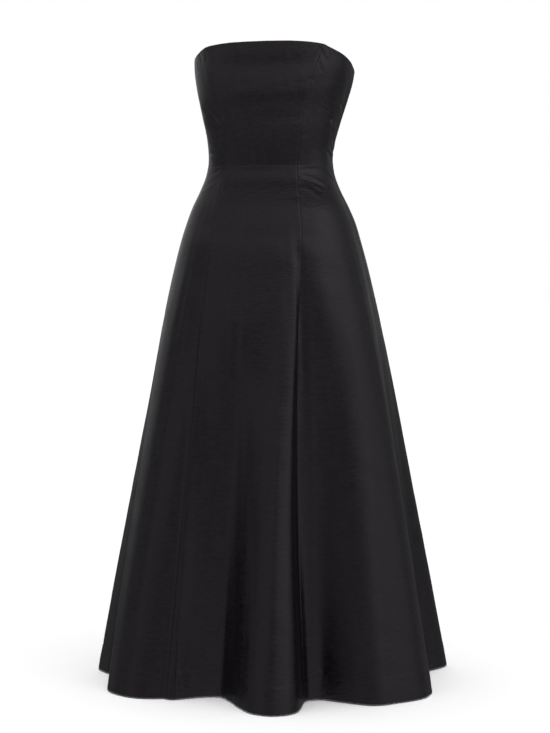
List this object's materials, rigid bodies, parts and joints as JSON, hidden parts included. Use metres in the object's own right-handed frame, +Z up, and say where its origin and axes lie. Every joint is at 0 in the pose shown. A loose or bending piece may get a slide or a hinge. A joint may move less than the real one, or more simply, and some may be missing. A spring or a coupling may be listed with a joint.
{
  "type": "strapless dress",
  "caption": "Strapless princess-seamed gown, a fitted bodice on a waist seam with a floor-length gored skirt that flares into deep folds, closed by a zip at the back",
  "frame": {"origin": "middle of the waist, on the level of the waist seam, where the wearer holds the dress up", "axes": "+Z up along the wearer's body, -Y the way the wearer faces, +X the wearer's left"},
  "size_m": [0.7016, 0.6246, 1.2641],
  "materials": {
    "satin": "heavy satin with a soft sheen",
    "zip_tape_cloth": "matt woven tape",
    "zip_metal": "black enamel"
  },
  "bodies": {
    "dress": {"bodice_front": "satin", "bodice_side_front_left": "satin", "bodice_side_back_left": "satin", "bodice_back_left": "satin", "bodice_back_right": "satin", "bodice_side_back_right": "satin", "bodice_side_front_right": "satin", "skirt_front": "satin", "skirt_side_front_left": "satin", "skirt_side_back_left": "satin", "skirt_back_left": "satin", "skirt_back_right": "satin", "skirt_side_back_right": "satin", "skirt_side_front_right": "satin", "zip_tape": "zip_tape_cloth", "zip_slider": "zip_metal"},
    "zip_pull": {"zip_pull": "zip_metal"}
  },
  "joints": [
    {"name": "pull_swing", "type": "hinge", "parent": "dress", "child": "zip_pull", "pos_m": [0, 0.12054, 0.15746], "axis": [1, 0, 0], "range_deg": [-10, 165]}
  ]
}
